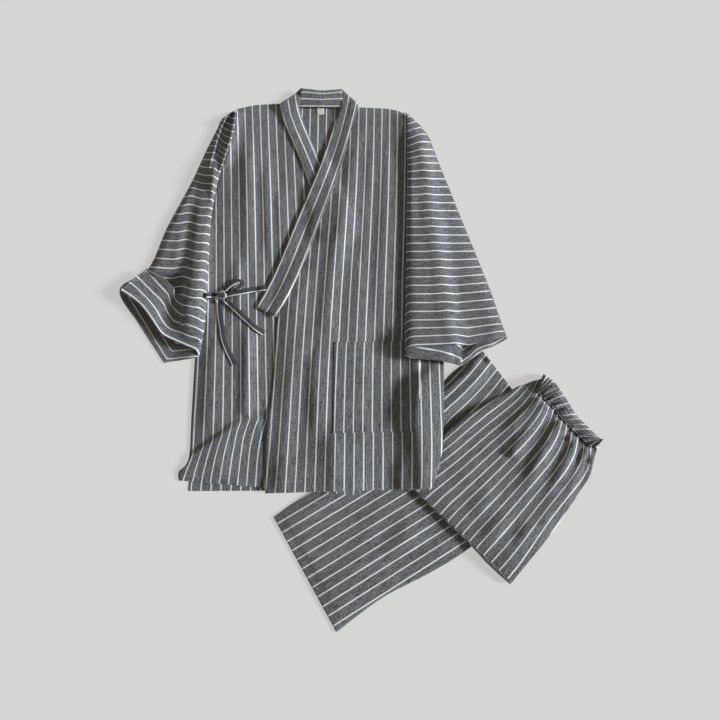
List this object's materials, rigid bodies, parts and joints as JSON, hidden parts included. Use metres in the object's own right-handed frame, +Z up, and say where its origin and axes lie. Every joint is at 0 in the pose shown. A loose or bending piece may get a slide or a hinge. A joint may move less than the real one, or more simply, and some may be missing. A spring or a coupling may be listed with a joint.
{
  "type": "jinbei set",
  "caption": "Wrapped cotton jacket with short sleeves, patch pocket and side ties, laid flat over matching elastic-waisted short trousers, with fine stripes.",
  "frame": {"origin": "middle of the laid-out set, on the surface it rests on", "axes": "+Z up from the surface, +Y along the jacket from its hem to its collar, +X towards the wearer's left sleeve"},
  "size_m": [0.8947, 1.0828, 0.0336],
  "materials": {
    "striped_cloth": "matte heathered charcoal cotton with fine off-white stripes",
    "tie_cloth": "matte heathered charcoal cotton",
    "label_cotton": "matte cream cotton tape"
  },
  "bodies": {
    "root": {"jacket_back": "striped_cloth", "right_front": "striped_cloth", "left_front": "striped_cloth", "collar_right": "striped_cloth", "collar_left": "striped_cloth", "sleeve_right": "striped_cloth", "sleeve_left": "striped_cloth", "pocket": "striped_cloth", "neck_label": "label_cotton", "tie_side": "tie_cloth", "tie_front": "tie_cloth", "tie_loop": "tie_cloth", "tie_knot": "tie_cloth", "tie_tail_side": "tie_cloth", "tie_tail_front": "tie_cloth", "trouser_leg_lower": "striped_cloth", "trouser_leg_under": "striped_cloth", "trouser_leg_upper": "striped_cloth", "waistband": "striped_cloth"}
  },
  "joints": []
}
